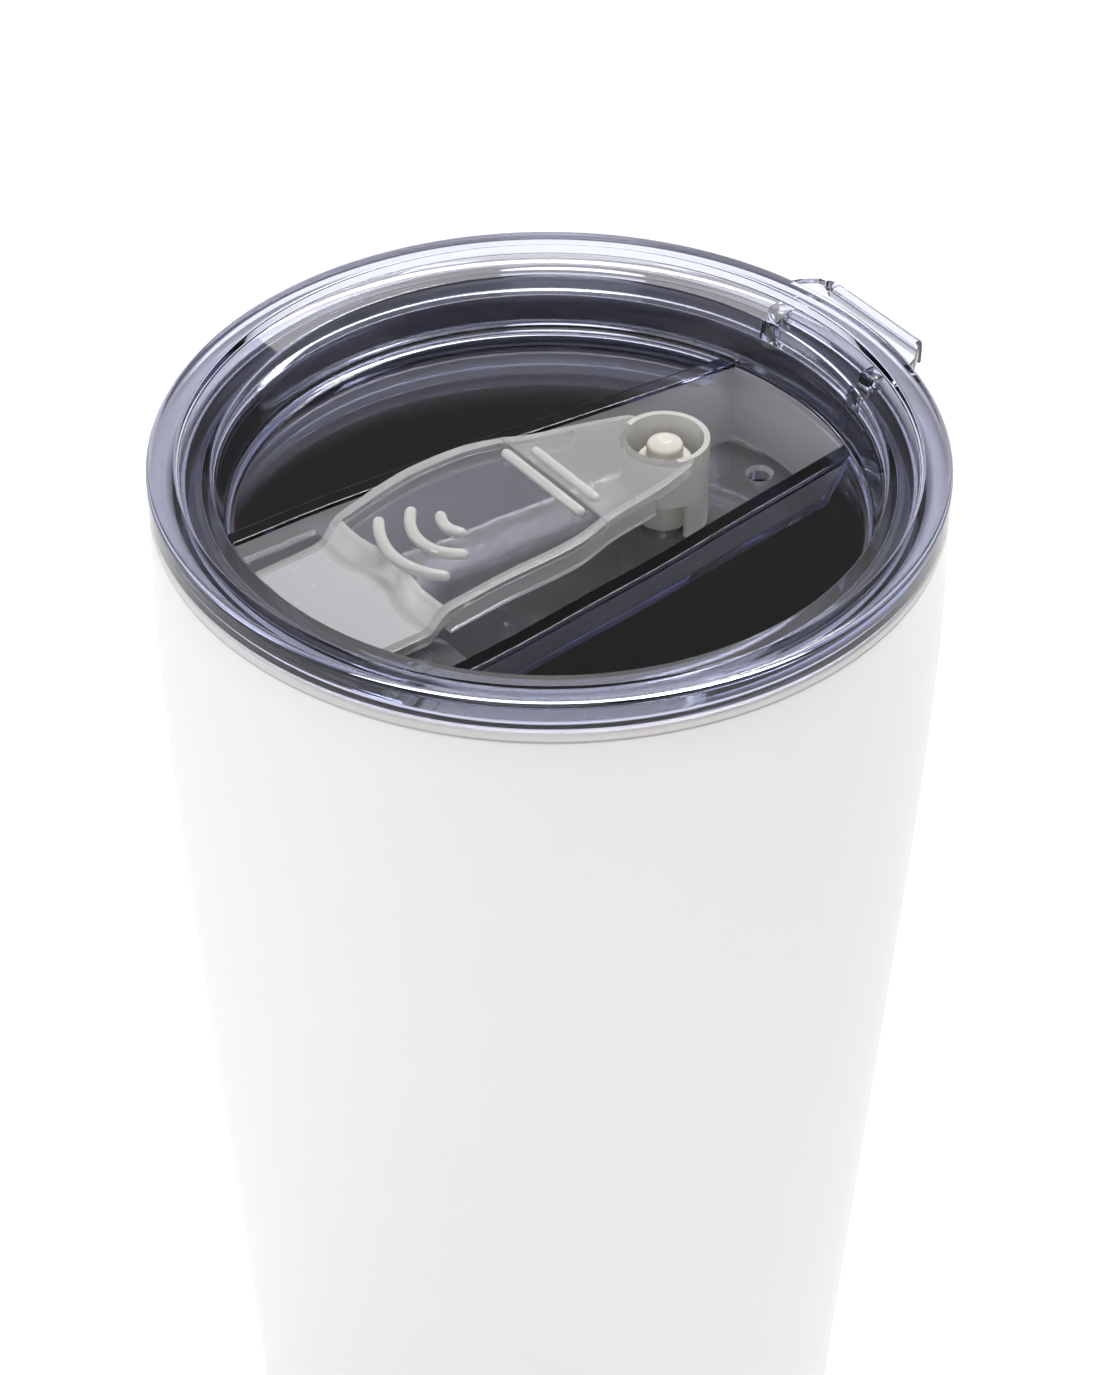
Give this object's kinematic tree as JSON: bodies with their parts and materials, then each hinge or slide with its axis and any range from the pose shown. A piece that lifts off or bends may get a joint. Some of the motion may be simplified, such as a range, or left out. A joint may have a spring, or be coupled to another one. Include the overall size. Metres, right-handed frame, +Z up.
{
  "type": "insulated tumbler with lid",
  "caption": "Tapered vacuum-insulated steel tumbler with a clear press-in lid, a pull tab and a milky lift-up flap on a rear post.",
  "frame": {"origin": "centre of the flat base, on the face the tumbler stands on", "axes": "+Z up along the body's axis; the drinking side and the flap's tip point to -Y, the pull tab to +Y"},
  "size_m": [0.0882, 0.0914, 0.172],
  "materials": {
    "outer_shell": "satin white powder coat",
    "inner_liner": "turned and brushed",
    "base_plate": "plain pressed",
    "vacuum_seal": "solder bead, dull",
    "getter_pill": "sintered metal, dull",
    "base_cap": "spun",
    "lid_body": "clear, polished",
    "lid_gasket": "clear silicone",
    "flap_lever": "milky, smooth",
    "flap_anchor": "milky, smooth",
    "snap_pin": "cream, smooth"
  },
  "bodies": {
    "cup": {"outer_shell": "outer_shell", "inner_liner": "inner_liner", "base_plate": "base_plate", "vacuum_seal": "vacuum_seal", "getter_pill": "getter_pill", "base_cap": "base_cap"},
    "lid": {"lid_body": "lid_body", "lid_gasket": "lid_gasket", "flap_anchor": "flap_anchor", "snap_pin": "snap_pin"},
    "flap": {"flap_lever": "flap_lever"}
  },
  "joints": [
    {"name": "lid_lift_off", "type": "slide", "parent": "cup", "child": "lid", "axis": [0, 0, 1], "range_m": [0, 0.04]},
    {"name": "flap_lift", "type": "hinge", "parent": "lid", "child": "flap", "pos_m": [0, 0.0006, 0.1679], "axis": [-1, 0, 0], "range_deg": [0, 105]}
  ]
}
